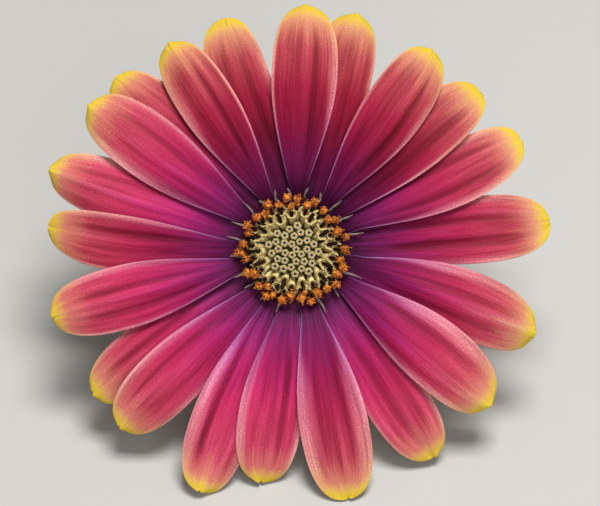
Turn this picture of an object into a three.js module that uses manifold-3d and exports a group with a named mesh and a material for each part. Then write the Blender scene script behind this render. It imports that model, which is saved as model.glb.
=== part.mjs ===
// Osteospermum: one flower head picked with a short stem and laid on a surface.
//
// Sizes are in millimetres and angles in degrees. The head is built upright in a frame of its own:
// +Z runs up the flower's axis, z = 0 is where the rays turn outwards over the rim of the disc, and
// +Y points at ray floret 1. It is then tilted back, so that it rests on the tips of its lowest rays
// and on the stem, which curves down behind it and lies on the surface z = 0.
import * as THREE from "three";
import { mergeVertices } from "three/addons/utils/BufferGeometryUtils.js";
import Module from "manifold-3d";

const wasm = await Module();
wasm.setup();

// How the head lies
const HEAD_TILT = 42;
const HEAD_AT = new THREE.Vector3(-0.44, -11.75, 19.8);

// Ray florets, clockwise from the top one. Bearings are of the base, the middle and the tip, and
// left is the counterclockwise edge. Lifts of the edges lay each ray over or under its neighbours.
const RAY_FLORETS = [
  { bearings: [88.5, 87.3, 87.5], reach: 31.4, width: 8.5, leftLift: 0.6, rightLift: 0.6, tipLift: 0 },
  { bearings: [72.5, 75.0, 75.5], reach: 31.3, width: 8.0, leftLift: -0.6, rightLift: -0.6, tipLift: 0 },
  { bearings: [56.5, 54.9, 55.5], reach: 31.0, width: 8.0, leftLift: 0.6, rightLift: 0.6, tipLift: 0 },
  { bearings: [40.5, 41.8, 41.0], reach: 31.4, width: 7.8, leftLift: -0.5, rightLift: 0.5, tipLift: 0 },
  { bearings: [25.0, 24.7, 26.0], reach: 32.4, width: 7.9, leftLift: -0.5, rightLift: 0.5, tipLift: 0 },
  { bearings: [5.5, 6.0, 5.8], reach: 33.1, width: 8.7, leftLift: -0.6, rightLift: -0.3, tipLift: 0 },
  { bearings: [-15.5, -17.1, -19.7], reach: 32.6, width: 8.7, leftLift: 0.1, rightLift: -0.5, tipLift: 0 },
  { bearings: [-36.1, -36.5, -38.5], reach: 32.0, width: 8.9, leftLift: 0.6, rightLift: 0.6, tipLift: 0 },
  { bearings: [-56.2, -56.5, -56.5], reach: 32.4, width: 8.2, leftLift: -0.6, rightLift: -0.6, tipLift: -0.8 },
  { bearings: [-76.3, -77.5, -78.2], reach: 33.0, width: 8.9, leftLift: 0.9, rightLift: 0.9, tipLift: 0.45 },
  { bearings: [-98.0, -98.6, -98.5], reach: 30.5, width: 8.3, leftLift: -0.1, rightLift: 0.9, tipLift: -0.4 },
  { bearings: [-113.7, -113.5, -111.7], reach: 33.7, width: 8.2, leftLift: -0.6, rightLift: 0.5, tipLift: 1.16 },
  { bearings: [-133.0, -134.2, -134.5], reach: 32.3, width: 8.3, leftLift: -0.4, rightLift: 0.5, tipLift: 0 },
  { bearings: [-149.0, -146.0, -144.2], reach: 32.2, width: 8.0, leftLift: -0.9, rightLift: -0.9, tipLift: 0 },
  { bearings: [-163.8, -164.2, -164.7], reach: 32.6, width: 8.3, leftLift: 0.5, rightLift: 0.5, tipLift: 0 },
  { bearings: [-180.3, -181.0, -185.0], reach: 32.2, width: 7.3, leftLift: -0.5, rightLift: 0.4, tipLift: 0 },
  { bearings: [-197.0, -197.5, -198.0], reach: 33.3, width: 7.8, leftLift: -0.6, rightLift: -0.6, tipLift: 0 },
  { bearings: [-213.2, -214.5, -215.0], reach: 32.4, width: 8.4, leftLift: 0.6, rightLift: 0.6, tipLift: 0 },
  { bearings: [-226.8, -225.0, -223.5], reach: 32.1, width: 7.9, leftLift: -0.6, rightLift: -0.6, tipLift: 0 },
  { bearings: [-239.7, -239.1, -238.3], reach: 31.1, width: 7.4, leftLift: 0.6, rightLift: 0.6, tipLift: 0 },
  { bearings: [-255.5, -252.0, -252.2], reach: 31.3, width: 7.9, leftLift: -0.6, rightLift: -0.6, tipLift: 0 },
];
// Ovary, tube and claw of a ray floret: radius, height, half width and half thickness
const RAY_STALK = [
  [4.25, -4.95, 0.3, 0.36],
  [4.27, -3.9, 0.34, 0.4],
  [4.35, -2.6, 0.3, 0.32],
  [4.55, -1.4, 0.28, 0.26],
  [4.85, -0.4, 0.34, 0.22],
  [5.4, 0.2, 0.44, 0.2],
];
const BLADE_FROM = 6.5;
const BLADE_BASE_SHARE = 0.15;
const BLADE_TIP_SHARE = 0.15;
const BLADE_WIDEST_AT = 0.68;
const BLADE_SWELL = 1.25;
const BLADE_STATIONS = [0, 0.06, 0.14, 0.25, 0.37, 0.5, 0.62, 0.74, 0.84, 0.91, 0.96, 1];
const BLADE_HALF_THICKNESS = { middle: 0.18, margin: 0.1 };
const ARCH = { from: 5, height: 3.2, foot: 0.1, crestAt: 0.6, drop: 2 };
const LIFT_FROM = 6;
const LIFT_TO = 11;
const MIDDLE_BEARING_AT = 18;
const TIP_LIFT_POWER = 6;

// Bracts: one in the gap after each ray floret, given by the radius of its tip
const BRACT_REACHES = [
  8.0, 7.9, 8.6, 8.5, 9.0, 11.0, 9.3, 8.3, 9.1, 10.4, 8.6,
  8.0, 8.4, 8.8, 8.6, 9.1, 9.0, 9.1, 7.8, 8.1, 7.9,
];
// Radius, height and half width up a bract, from its foot to where its point begins
const BRACT_BODY = [
  [5.15, -6.5, 0.4],
  [5.6, -5, 0.66],
  [5.88, -3.5, 0.76],
  [6.08, -1.6, 0.75],
  [6.6, -0.35, 0.6],
  [7.2, 0.02, 0.48],
];
const BRACT_POINT_SLOPE = 0.28;
const BRACT_HALF_POINT = 0.1;
const BRACT_HALF_THICKNESS = 0.11;
const BRACT_TILT = 18;

const HEAD_SIDES = 42;
// Receptacle: radius and height round its outline, from the axis below to the axis above
const RECEPTACLE = [
  [0, -7.8], [2.2, -7.8], [3.2, -7.5], [4.4, -7.05], [4.75, -6.5],
  [4.75, -5.95], [4.55, -5.45], [3.9, -5.15], [0, -5.05],
];

// Disc: the dome of closed buds, a whorl of opening florets and a whorl of open florets
const BUD_DOME = [
  [0, -4.75], [2.2, -4.75], [2.35, -3], [2.5, 0.5], [3.1, 1.9], [3.3, 2.5],
  [2.9, 2.9], [2, 3.15], [1, 3.3], [0, 3.35],
];
const DOME_SIDES = 24;
const BUDS = 34;
const BUD_RADIUS = 0.4;
const BUD_TOP = 3.85;
const BUD_FOOT = 1.6;
const BUD_FOOT_SPREAD = 0.8;
const BUD_FOOT_SHARE = 0.9;
const BUD_DOME_FALL = 0.055;
const BUD_SPREAD = 0.604;
const GOLDEN_ANGLE = 137.508;
const OPENING_FLORETS = {
  count: 13,
  ring: { inner: 2.48, outer: 2.98 },
  paths: [[[2.75, -4.6], [2.95, -2], [3.3, 0.5], [3.95, 2.2], [4.3, 3.1]]],
  radii: [0.2, 0.22, 0.25, 0.28, 0.3],
};
// Every other open floret leans out further, over the claws of the rays
const OPEN_FLORETS = {
  count: 34,
  ring: { inner: 3.12, outer: 3.6 },
  paths: [
    [[3.36, -4.6], [3.5, -2], [4.05, 0.4], [4.75, 1.9], [5.2, 2.8]],
    [[3.36, -4.6], [3.5, -2], [4.15, 0.2], [5.2, 1.5], [6.1, 2.2]],
  ],
  radii: [0.2, 0.22, 0.28, 0.34, 0.38],
};
const FLORET_SIDES = 6;
const WHORL_RING_FOOT = -4.85;
const WHORL_RING_HEIGHT = 0.4;

// Stem: it leaves the head along the axis and lies on the surface for its last stretch
const STEM_TOP = -8.1;
const STEM_FLARE_RADIUS = 1.9;
const STEM_FLARE = 0.14;
const STEM_RADIUS = 1.2;
const STEM_LANDS_AT = new THREE.Vector3(2, 24, STEM_RADIUS);
const STEM_ENDS_AT = new THREE.Vector3(5.5, 37, STEM_RADIUS);
const STEM_NECK = 12;
const STEM_SIDES = 12;
const STEM_STEPS = 22;

const petal = new THREE.MeshStandardMaterial({ color: 0xc23c6c, roughness: 0.6 });
const green = new THREE.MeshStandardMaterial({ color: 0x6f8f3f, roughness: 0.7 });
const stemGreen = new THREE.MeshStandardMaterial({ color: 0x7d8a4a, roughness: 0.7 });
const cream = new THREE.MeshStandardMaterial({ color: 0xd9d6b4, roughness: 0.7 });
const purple = new THREE.MeshStandardMaterial({ color: 0x4a2330, roughness: 0.6 });
const orange = new THREE.MeshStandardMaterial({ color: 0xd9781c, roughness: 0.8 });

const radians = THREE.MathUtils.degToRad;
const lerp = THREE.MathUtils.lerp;

/** Moves every vertex of a geometry with place(x, y, z), which returns the new point. */
function reshape(geometry, place) {
  const position = geometry.attributes.position;
  for (let i = 0; i < position.count; i++) {
    const point = place(position.getX(i), position.getY(i), position.getZ(i));
    position.setXYZ(i, point.x, point.y, point.z);
  }
  geometry.deleteAttribute("uv");
  geometry.deleteAttribute("normal");
  const merged = mergeVertices(geometry, 1e-4);
  merged.computeVertexNormals();
  return merged;
}

/** The point at a bearing, a radius and a height, moved sideways towards the next bearing. */
function onBearing(bearing, radius, height, sideways = 0) {
  const angle = radians(bearing);
  return new THREE.Vector3(
    radius * Math.cos(angle) - sideways * Math.sin(angle),
    radius * Math.sin(angle) + sideways * Math.cos(angle),
    height,
  );
}

/** The upward normal of a path of stations with a radius and a height, at station i. */
function pathNormal(stations, i) {
  const before = stations[Math.max(i - 1, 0)];
  const after = stations[Math.min(i + 1, stations.length - 1)];
  const run = new THREE.Vector2(after.radius - before.radius, after.height - before.height).normalize();
  return new THREE.Vector2(-run.y, run.x);
}

/**
 * A thin strip along stations that go outwards and upwards. Each has a bearing, a radius, a height,
 * a half width and half thicknesses at its middle and margin; lift(side) raises a point of it, and
 * tilt turns its width about its length. Side runs from -1 at the right margin to 1 at the left.
 */
function strip(stations) {
  const steps = stations.length - 1;
  const box = new THREE.BoxGeometry(2, steps, 2, 2, steps, 1);
  return reshape(box, (x, y, z) => {
    const i = Math.round(y + steps / 2);
    const station = stations[i];
    const normal = pathNormal(stations, i);
    const side = -x;
    const tilt = radians(station.tilt ?? 0);
    const half = lerp(station.middle, station.margin, Math.abs(side));
    const out = z * half * Math.cos(tilt) + side * station.halfWidth * Math.sin(tilt);
    const sideways = side * station.halfWidth * Math.cos(tilt) - z * half * Math.sin(tilt);
    const lift = station.lift ? station.lift(side) : 0;
    return onBearing(
      station.bearing,
      station.radius + out * normal.x,
      station.height + out * normal.y + lift,
      sideways,
    );
  });
}

/** A ray's bearing at a radius: a parabola through its base, middle and tip, straight below the blade. */
function rayBearing([base, middle, tip], reach, radius) {
  const along = Math.max(radius - BLADE_FROM, 0) / (reach - BLADE_FROM);
  const half = (MIDDLE_BEARING_AT - BLADE_FROM) / (reach - BLADE_FROM);
  const bend = ((middle - base) / half - (tip - base)) / (1 - half);
  return base + along * (tip - base) + bend * along * (1 - along);
}

/** Height of the arched blades at a radius. */
function archHeight(radius, reach) {
  const along = (radius - ARCH.from) / (reach - ARCH.from);
  const fromCrest = along < ARCH.crestAt
    ? -ARCH.height * (1 - along / ARCH.crestAt) ** 2
    : -ARCH.drop * ((along - ARCH.crestAt) / (1 - ARCH.crestAt)) ** 2;
  return ARCH.foot + ARCH.height + fromCrest;
}

/** Share of the widest width at a place along the blade. */
function bladeShare(along) {
  if (along < BLADE_WIDEST_AT) {
    const swell = Math.sin((Math.PI / 2) * (along / BLADE_WIDEST_AT)) ** BLADE_SWELL;
    return lerp(BLADE_BASE_SHARE, 1, swell);
  }
  const past = (along - BLADE_WIDEST_AT) / (1 - BLADE_WIDEST_AT);
  return Math.max(BLADE_TIP_SHARE, Math.sqrt(1 - past * past));
}

/** A ray floret in one piece: ovary, tube, claw and the strap-shaped blade. */
function rayFloret({ bearings, reach, width, leftLift, rightLift, tipLift }) {
  const stalk = RAY_STALK.map(([radius, height, halfWidth, half]) => (
    { bearing: bearings[0], radius, height, halfWidth, middle: half, margin: half }
  ));
  const blade = BLADE_STATIONS.map((along) => {
    const radius = lerp(BLADE_FROM, reach, along);
    const ramp = THREE.MathUtils.smoothstep(radius, LIFT_FROM, LIFT_TO);
    return {
      bearing: rayBearing(bearings, reach, radius),
      radius,
      height: archHeight(radius, reach) + tipLift * along ** TIP_LIFT_POWER,
      halfWidth: (bladeShare(along) * width) / 2,
      ...BLADE_HALF_THICKNESS,
      lift: (side) => ramp * lerp(rightLift, leftLift, (side + 1) / 2),
    };
  });
  return strip([...stalk, ...blade]);
}

/** A bract: a narrow green leaf that rises round the head and ends in a point between two rays. */
function bract(bearing, reach) {
  const shared = { bearing, middle: BRACT_HALF_THICKNESS, margin: BRACT_HALF_THICKNESS };
  const body = BRACT_BODY.map(([radius, height, halfWidth], i) => (
    { ...shared, radius, height, halfWidth, tilt: i < BRACT_BODY.length - 2 ? BRACT_TILT : 0 }
  ));
  const [lastRadius, lastHeight] = BRACT_BODY.at(-1);
  const point = {
    ...shared,
    radius: reach,
    height: lastHeight + BRACT_POINT_SLOPE * (reach - lastRadius),
    halfWidth: BRACT_HALF_POINT,
  };
  return strip([...body, point]);
}

function lathe(outline, sides) {
  const profile = outline.map(([radius, height]) => new THREE.Vector2(radius, height));
  const spun = new THREE.LatheGeometry(profile, sides);
  return reshape(spun.rotateX(Math.PI / 2), (x, y, z) => new THREE.Vector3(x, y, z));
}

/** A tube of the given radii along a list of points, closed at both ends. */
function tube(points, radii, sides) {
  const steps = points.length - 1;
  const rod = new THREE.CylinderGeometry(1, 1, steps, sides, steps);
  return reshape(rod, (x, y, z) => {
    const i = Math.round(y + steps / 2);
    const run = points[Math.min(i + 1, steps)].clone().sub(points[Math.max(i - 1, 0)]).normalize();
    const across = new THREE.Vector3(-run.y, run.x, 0);
    if (across.length() < 1e-6) across.set(1, 0, 0);
    across.normalize();
    const up = new THREE.Vector3().crossVectors(run, across);
    return points[i].clone().addScaledVector(across, z * radii[i]).addScaledVector(up, x * radii[i]);
  });
}

function toSolid(geometry) {
  const bare = geometry.clone();
  bare.deleteAttribute("normal");
  const whole = mergeVertices(bare, 1e-4);
  return new wasm.Manifold(new wasm.Mesh({
    numProp: 3,
    vertProperties: new Float32Array(whole.attributes.position.array),
    triVerts: new Uint32Array(whole.index.array),
  }));
}

/** Joins closed geometries into one. */
function join(geometries) {
  const solid = geometries.map(toSolid).reduce((whole, next) => whole.add(next));
  const { vertProperties, triVerts } = solid.getMesh();
  const geometry = new THREE.BufferGeometry();
  geometry.setAttribute("position", new THREE.BufferAttribute(vertProperties, 3));
  geometry.setIndex(new THREE.BufferAttribute(triVerts, 1));
  geometry.computeVertexNormals();
  return geometry;
}

/** Closed buds in the spiral in which a daisy sets them, on the dome that carries them. */
function budDome() {
  const buds = Array.from({ length: BUDS }, (_, k) => {
    const radius = BUD_SPREAD * Math.sqrt(k + 0.5);
    const top = BUD_TOP - BUD_DOME_FALL * radius * radius;
    const foot = onBearing(k * GOLDEN_ANGLE, radius * BUD_FOOT_SPREAD, BUD_FOOT);
    const ends = [foot, onBearing(k * GOLDEN_ANGLE, radius, top)];
    return tube(ends, [BUD_RADIUS * BUD_FOOT_SHARE, BUD_RADIUS], FLORET_SIDES);
  });
  return join([lathe(BUD_DOME, DOME_SIDES), ...buds]);
}

/** A whorl of tubular florets, joined at their feet by the ring that they stand on. */
function whorl({ count, ring, paths, radii }) {
  const foot = WHORL_RING_FOOT;
  const top = foot + WHORL_RING_HEIGHT;
  const { inner, outer } = ring;
  const section = [[outer, foot], [outer, top], [inner, top], [inner, foot], [outer, foot]];
  const florets = Array.from({ length: count }, (_, k) => {
    const path = paths[k % paths.length];
    const points = path.map(([radius, height]) => onBearing((k * 360) / count, radius, height));
    return tube(points, radii, FLORET_SIDES);
  });
  return join([lathe(section, HEAD_SIDES), ...florets]);
}

/** The stem, along its path over the surface, from the flare below the receptacle to its cut end. */
function stem(top, axis) {
  const lying = STEM_ENDS_AT.clone().sub(STEM_LANDS_AT).normalize();
  const path = new THREE.CurvePath();
  path.add(new THREE.CubicBezierCurve3(
    top,
    top.clone().addScaledVector(axis, -STEM_NECK),
    STEM_LANDS_AT.clone().addScaledVector(lying, -STEM_NECK),
    STEM_LANDS_AT,
  ));
  path.add(new THREE.LineCurve3(STEM_LANDS_AT, STEM_ENDS_AT));
  const shares = Array.from({ length: STEM_STEPS + 1 }, (_, k) => k / STEM_STEPS);
  const radii = shares.map((share) => (
    lerp(STEM_FLARE_RADIUS, STEM_RADIUS, THREE.MathUtils.smoothstep(share, 0, STEM_FLARE))
  ));
  return tube(shares.map((share) => path.getPointAt(share)), radii, STEM_SIDES);
}

function named(name, geometry, material) {
  const mesh = new THREE.Mesh(geometry, material);
  mesh.name = name;
  return mesh;
}

const number = (k) => String(k + 1).padStart(2, "0");

const head = new THREE.Group();
head.rotation.x = radians(HEAD_TILT);
head.position.copy(HEAD_AT);
RAY_FLORETS.forEach((ray, k) => {
  const next = RAY_FLORETS[(k + 1) % RAY_FLORETS.length];
  const turn = k + 1 < RAY_FLORETS.length ? 0 : 360;
  const gap = (ray.bearings[0] + next.bearings[0] - turn) / 2;
  head.add(named(`ray_floret_${number(k)}`, rayFloret(ray), petal));
  head.add(named(`bract_${number(k)}`, bract(gap, BRACT_REACHES[k]), green));
});
head.add(named("receptacle", lathe(RECEPTACLE, HEAD_SIDES), green));
head.add(named("disc_buds", budDome(), cream));
head.add(named("opening_florets", whorl(OPENING_FLORETS), purple));
head.add(named("open_florets", whorl(OPEN_FLORETS), orange));
head.updateMatrixWorld(true);

const stemTop = new THREE.Vector3(0, 0, STEM_TOP).applyMatrix4(head.matrixWorld);
const headAxis = new THREE.Vector3(0, 0, 1).transformDirection(head.matrixWorld);

const flower = new THREE.Group();
flower.add(head);
flower.add(named("stem", stem(stemTop, headAxis), stemGreen));

export default flower;
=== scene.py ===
from math import cos, exp, pi, radians, sin, sqrt, tau
from random import Random

import bmesh
import bpy
from mathutils import Matrix, Vector
from mathutils.geometry import interpolate_bezier


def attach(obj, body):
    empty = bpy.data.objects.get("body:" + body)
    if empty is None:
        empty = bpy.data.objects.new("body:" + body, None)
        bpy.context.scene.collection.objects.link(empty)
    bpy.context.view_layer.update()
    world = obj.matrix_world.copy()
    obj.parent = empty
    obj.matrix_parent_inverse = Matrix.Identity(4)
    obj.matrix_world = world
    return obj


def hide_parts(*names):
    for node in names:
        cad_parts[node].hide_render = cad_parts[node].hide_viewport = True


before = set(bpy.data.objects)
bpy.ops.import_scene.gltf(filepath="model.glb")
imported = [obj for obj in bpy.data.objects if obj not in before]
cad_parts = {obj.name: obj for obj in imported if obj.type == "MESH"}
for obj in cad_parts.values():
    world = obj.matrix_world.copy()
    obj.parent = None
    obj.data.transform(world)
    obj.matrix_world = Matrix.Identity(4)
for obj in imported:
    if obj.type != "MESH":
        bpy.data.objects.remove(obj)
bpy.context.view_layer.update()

# STEM
# A green stalk, finely ribbed and tinged purple, flared where it carries the head. It curves down
# behind the head and lies on the surface, cut square, with a pale pith inside its green rind.
TO_METRES = Matrix.Scale(0.001, 4)
HEAD_TILT = radians(42)
HEAD_AT = Vector((-0.44, -11.75, 19.8))
HEAD = Matrix.Translation(HEAD_AT) @ Matrix.Rotation(HEAD_TILT, 4, "X")

STEM_TOP = HEAD @ Vector((0, 0, -8.05))
STEM_AXIS = HEAD.to_3x3() @ Vector((0, 0, 1))
STEM_RADIUS = 1.2
STEM_FLARE_RADIUS = 1.9
STEM_FLARE = 0.14
STEM_LANDS_AT = Vector((2, 24, STEM_RADIUS))
STEM_ENDS_AT = Vector((5.5, 37, STEM_RADIUS))
STEM_NECK = 12
STEM_RIBS = 9
STEM_RIB_HEIGHT = 0.035
STEM_RIB_SWAY = 0.5
STEM_RIB_SWAYS = 3
STEM_SIDES = 54
STEM_RINGS = 110
# The widths of the cut rind and of the step down to the pith, as shares of the radius
RIND_WIDTH = 0.3
PITH_STEP_WIDTH = 0.04
PITH_SUNK = 0.12
# Millimetres below the head by which the purple tinge is faint
TINGE_FADES_BY = 30


def smoothstep(low, high, value):
    share = min(max((value - low) / (high - low), 0), 1)
    return share * share * (3 - 2 * share)


def lerp(first, second, share):
    return first + (second - first) * share


def feed(socket, value):
    """Links a node's output to a socket, or sets the socket's own value."""
    if isinstance(value, bpy.types.NodeSocket):
        socket.id_data.links.new(value, socket)
    else:
        socket.default_value = value


def new_node(finish, kind, inputs, **settings):
    node = finish.node_tree.nodes.new(kind)
    for setting, value in settings.items():
        setattr(node, setting, value)
    for socket, value in inputs.items():
        feed(node.inputs[socket], value)
    return node


def calc(finish, operation, *values):
    """A sum, product or other result of one to three numbers."""
    return new_node(finish, "ShaderNodeMath", dict(enumerate(values)), operation=operation).outputs[0]


def fade(finish, value, low, high, from_value=0.0, to_value=1.0):
    """A smooth step from one value to another as a number goes from low to high."""
    inputs = {
        "Value": value, "From Min": low, "From Max": high, "To Min": from_value, "To Max": to_value,
    }
    return new_node(finish, "ShaderNodeMapRange", inputs, interpolation_type="SMOOTHSTEP").outputs[0]


def noise(finish, vector, stretch, detail=2.0, roughness=0.5):
    """Noise on a vector, with as many cells to the unit in each direction as stretch says."""
    cells = new_node(finish, "ShaderNodeVectorMath", {0: vector, 1: stretch}, operation="MULTIPLY")
    inputs = {"Vector": cells.outputs[0], "Scale": 1.0, "Detail": detail, "Roughness": roughness}
    return new_node(finish, "ShaderNodeTexNoise", inputs).outputs["Fac"]


def ramp(finish, value, stops):
    """A colour that follows a number through stops of a place and a colour."""
    node = new_node(finish, "ShaderNodeValToRGB", {"Fac": value})
    first, last = node.color_ramp.elements
    node.color_ramp.elements.remove(last)
    first.position = stops[0][0]
    first.color = (*stops[0][1], 1)
    for place, colour in stops[1:]:
        node.color_ramp.elements.new(place).color = (*colour, 1)
    return node.outputs["Color"]


def mixed(finish, share, first, second, blend="MIX"):
    """Two colours mixed by a share. The colour sockets of a Mix node are its seventh and eighth."""
    inputs = {0: share, 6: first, 7: second}
    return new_node(finish, "ShaderNodeMix", inputs, data_type="RGBA", blend_type=blend).outputs[2]


def toned(finish, share, colour, tone):
    """A colour multiplied by a tone, as far as a share says."""
    return mixed(finish, share, colour, (*tone, 1), blend="MULTIPLY")


def carried(finish, name):
    """A vector that each point of a mesh carries, whole and as its three parts."""
    whole = new_node(finish, "ShaderNodeAttribute", {}, attribute_name=name).outputs["Vector"]
    return whole, *new_node(finish, "ShaderNodeSeparateXYZ", {0: whole}).outputs


def bumped(finish, height, depth):
    """Sets the shader's normal from a height from 0 to 1, which stands for a depth in millimetres."""
    inputs = {"Height": height, "Strength": 1.0, "Distance": depth * 0.001}
    feed(shader(finish).inputs["Normal"], new_node(finish, "ShaderNodeBump", inputs).outputs[0])


def shader(finish):
    return finish.node_tree.nodes["Principled BSDF"]


def new_finish(name, **sockets):
    """A material whose shader has the given values, in words with _ for spaces."""
    finish = bpy.data.materials.new(name)
    finish.use_nodes = True
    for socket, value in sockets.items():
        shader(finish).inputs[socket.replace("_", " ")].default_value = value
    return finish


def add_piece(name, shape, finishes, nodes, placed=HEAD):
    """Makes a shape in millimetres a piece that rides on the flower and stands for nodes of the frame."""
    bmesh.ops.transform(shape, matrix=TO_METRES @ placed, verts=shape.verts)
    for face in shape.faces:
        face.smooth = True
    mesh = bpy.data.meshes.new(name)
    shape.to_mesh(mesh)
    shape.free()
    for finish in finishes:
        mesh.materials.append(finish)
    piece = bpy.data.objects.new(name, mesh)
    bpy.context.collection.objects.link(piece)
    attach(piece, "root")
    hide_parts(*nodes)


def rind_finish():
    finish = new_finish("stem_rind", Roughness=0.55, Subsurface_Weight=0.1, Subsurface_Scale=0.0006)
    grain, _, _, along = carried(finish, "grain")
    streaks = noise(finish, grain, (4, 4, 0.12), detail=4)
    specks = noise(finish, grain, (9, 9, 5), detail=3)
    colour = ramp(finish, streaks, [
        (0.3, (0.12, 0.19, 0.035)), (0.5, (0.2, 0.29, 0.06)), (0.7, (0.3, 0.38, 0.1)),
    ])
    near_head = fade(finish, along, TINGE_FADES_BY, 0, 0.2, 0.75)
    tinge = calc(finish, "MULTIPLY", fade(finish, streaks, 0.55, 0.35), near_head)
    colour = mixed(finish, tinge, colour, (0.2, 0.06, 0.07, 1))
    colour = mixed(finish, fade(finish, specks, 0.6, 0.75, 0, 0.35), colour, (0.42, 0.46, 0.2, 1))
    feed(shader(finish).inputs["Base Color"], colour)
    bumped(finish, calc(finish, "ADD", streaks, calc(finish, "MULTIPLY", specks, 0.4)), 0.06)
    return finish


def pith_finish():
    finish = new_finish("stem_pith", Roughness=0.8)
    grain = carried(finish, "grain")[0]
    cells = noise(finish, grain, (12, 12, 1), detail=4)
    pale = ramp(finish, cells, [(0.3, (0.42, 0.45, 0.2)), (0.7, (0.72, 0.72, 0.48))])
    feed(shader(finish).inputs["Base Color"], pale)
    bumped(finish, cells, 0.08)
    return finish


def stem():
    bend = interpolate_bezier(
        STEM_TOP,
        STEM_TOP - STEM_AXIS * STEM_NECK,
        STEM_LANDS_AT - (STEM_ENDS_AT - STEM_LANDS_AT).normalized() * STEM_NECK,
        STEM_LANDS_AT,
        STEM_RINGS,
    )
    path = [*bend, STEM_ENDS_AT]
    reached = [0]
    for start, end in zip(path, path[1:]):
        reached.append(reached[-1] + (end - start).length)

    def at(length):
        last = next((k for k in range(1, len(path) - 1) if reached[k] > length), len(path) - 1)
        share = (length - reached[last - 1]) / (reached[last] - reached[last - 1])
        return path[last - 1].lerp(path[last], share), (path[last] - path[last - 1]).normalized()

    shape = bmesh.new()
    bmesh.ops.create_cone(
        shape, cap_ends=True, cap_tris=False, segments=STEM_SIDES, radius1=1, radius2=1, depth=2
    )
    lengthwise = [edge for edge in shape.edges if abs(edge.verts[0].co.z - edge.verts[1].co.z) > 1]
    bmesh.ops.subdivide_edges(shape, edges=lengthwise, cuts=STEM_RINGS - 1)
    cut_end = [face for face in shape.faces if face.normal.z < -0.5]
    bmesh.ops.inset_region(shape, faces=cut_end, thickness=RIND_WIDTH, depth=0)
    step = bmesh.ops.inset_region(shape, faces=cut_end, thickness=PITH_STEP_WIDTH, depth=0)["faces"]
    for face in [*cut_end, *step]:
        face.material_index = 1
    sunk = {vertex for face in cut_end for vertex in face.verts}
    grain = shape.verts.layers.float_vector.new("grain")
    for vertex in shape.verts:
        x, y, z = vertex.co
        length = reached[-1] * (1 - z) / 2
        centre, run = at(length)
        across = Vector((-run.y, run.x, 0)).normalized()
        up = run.cross(across)
        turn = Vector((x, y)).angle_signed(Vector((1, 0)), 0)
        flare = smoothstep(0, STEM_FLARE, length / reached[-1])
        radius = lerp(STEM_FLARE_RADIUS, STEM_RADIUS - STEM_RIB_HEIGHT, flare)
        radius += STEM_RIB_HEIGHT * cos(STEM_RIBS * turn + STEM_RIB_SWAY * sin(STEM_RIB_SWAYS * turn))
        vertex[grain] = (x, y, length)
        vertex.co = centre + radius * (x * up + y * across)
        if vertex in sunk:
            vertex.co -= run * PITH_SUNK
    bmesh.ops.recalc_face_normals(shape, faces=shape.faces)
    return shape


add_piece(
    "stem_stalk", stem(), [rind_finish(), pith_finish()], ["stem"], Matrix.Identity(4),
)

# RECEPTACLE
# The solid green base of the head, turned like a shallow bowl. The stem runs into it from below, the
# bracts stand on its rim, and the florets stand on its top.
RECEPTACLE = [
    (0, -7.85), (2.0, -7.85), (3.2, -7.5), (4.4, -7.05), (4.8, -6.5),
    (4.75, -5.95), (4.55, -5.45), (3.9, -5.15), (0, -5.05),
]
HEAD_SIDES = 84
BRACTS = 21
RECEPTACLE_FLUTES = 0.07
FLUTES_BEGIN = (2.5, 4.5)


def through(points, place):
    """The point at a place, counted in points, on a smooth curve through a list of equal tuples."""
    last = len(points) - 1
    k = min(int(place), last - 1)
    t = place - k
    before, start, end, after = (points[min(max(i, 0), last)] for i in range(k - 1, k + 3))
    return tuple(
        b + 0.5 * t * (c - a + t * (2 * a - 5 * b + 4 * c - d + t * (3 * (b - c) + d - a)))
        for a, b, c, d in zip(before, start, end, after)
    )


def softened(outline, steps):
    """An outline with steps points to each of its own spans, on a smooth curve through them."""
    return [through(outline, k / steps) for k in range((len(outline) - 1) * steps + 1)]


def spun(outline, sides):
    """A closed shape turned from radii and heights that run from the axis below to the axis above."""
    shape = bmesh.new()
    points = [shape.verts.new((max(radius, 0), 0, height)) for radius, height, *_ in outline]
    edges = [shape.edges.new(pair) for pair in zip(points, points[1:])]
    bmesh.ops.spin(
        shape, geom=points + edges, cent=(0, 0, 0), axis=(0, 0, 1), angle=tau, steps=sides,
        use_merge=True,
    )
    bmesh.ops.remove_doubles(shape, verts=shape.verts, dist=1e-5)
    bmesh.ops.recalc_face_normals(shape, faces=shape.faces)
    return shape


def turned_to(vertex):
    """The bearing of a point round the axis, in radians, and its radius."""
    flat = vertex.co.xy
    return (-flat.angle_signed(Vector((1, 0)), 0), flat.length)


def receptacle_finish():
    finish = new_finish("receptacle_green", Roughness=0.6, Subsurface_Weight=0.1, Subsurface_Scale=0.0006)
    place = new_node(finish, "ShaderNodeTexCoord", {}).outputs["Object"]
    mottle = noise(finish, place, (700, 700, 700), detail=4)
    green = ramp(finish, mottle, [
        (0.3, (0.1, 0.17, 0.03)), (0.55, (0.18, 0.27, 0.06)), (0.75, (0.3, 0.36, 0.12)),
    ])
    feed(shader(finish).inputs["Base Color"], green)
    bumped(finish, mottle, 0.1)
    return finish


def receptacle():
    shape = spun(softened(RECEPTACLE, steps=4), HEAD_SIDES)
    for vertex in shape.verts:
        turn, radius = turned_to(vertex)
        share = 1 + RECEPTACLE_FLUTES * smoothstep(*FLUTES_BEGIN, radius) * cos(BRACTS * turn) / 2
        vertex.co.x *= share
        vertex.co.y *= share
    return shape


add_piece("head_base", receptacle(), [receptacle_finish()], ["receptacle"])

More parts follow.
